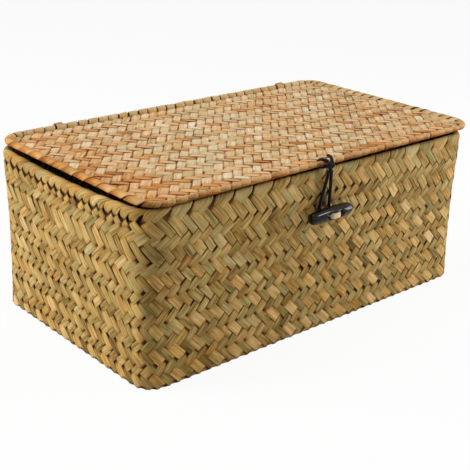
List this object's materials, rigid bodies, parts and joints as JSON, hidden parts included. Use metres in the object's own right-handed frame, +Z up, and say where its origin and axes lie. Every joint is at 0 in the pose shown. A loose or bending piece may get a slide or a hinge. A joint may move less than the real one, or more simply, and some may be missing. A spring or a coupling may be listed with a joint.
{
  "type": "woven lidded basket",
  "caption": "Rectangular hand-woven rush basket with a hinged woven lid, closed by a cord loop over a horn toggle.",
  "frame": {"origin": "centre of the base's underside", "axes": "+X along the length to the right, +Y towards the hinged back, +Z up; the toggle is on the -Y front"},
  "size_m": [0.3185, 0.198, 0.1323],
  "materials": {
    "rush_wall": "woven flat rush, olive and tan, matt",
    "rush_lid": "woven flat rush, pale tan, matt",
    "straw": "flat straw strip, matt",
    "horn": "polished dark horn",
    "black_cord": "twisted cotton cord, matt",
    "steel_wire": "plain drawn wire"
  },
  "bodies": {
    "basket": {"outer_weave": "rush_wall", "inner_weave": "rush_wall", "rim_wire": "steel_wire", "hinge_tie_left": "straw", "hinge_tie_right": "straw"},
    "lid": {"lid_top_weave": "rush_lid", "lid_under_weave": "rush_lid", "lid_rim_wire": "steel_wire", "loop_knot": "black_cord", "loop_collar": "black_cord", "loop_tail": "black_cord"},
    "toggle": {"toggle": "horn", "toggle_tie": "straw"},
    "loop": {"loop_cord": "black_cord"}
  },
  "joints": [
    {"name": "lid_hinge", "type": "hinge", "parent": "basket", "child": "lid", "pos_m": [0, 0.0882, 0.1266], "axis": [-1, 0, 0], "range_deg": [0, 180]},
    {"name": "toggle_swivel", "type": "hinge", "parent": "basket", "child": "toggle", "pos_m": [-0.0045, -0.0989, 0.0922], "axis": [0, 1, 0], "range_deg": [-90, 90]},
    {"name": "loop_swing", "type": "hinge", "parent": "lid", "child": "loop", "pos_m": [-0.0045, -0.0955, 0.1256], "axis": [-1, 0, 0], "range_deg": [0, 150], "deforming": ["loop_cord"]}
  ]
}
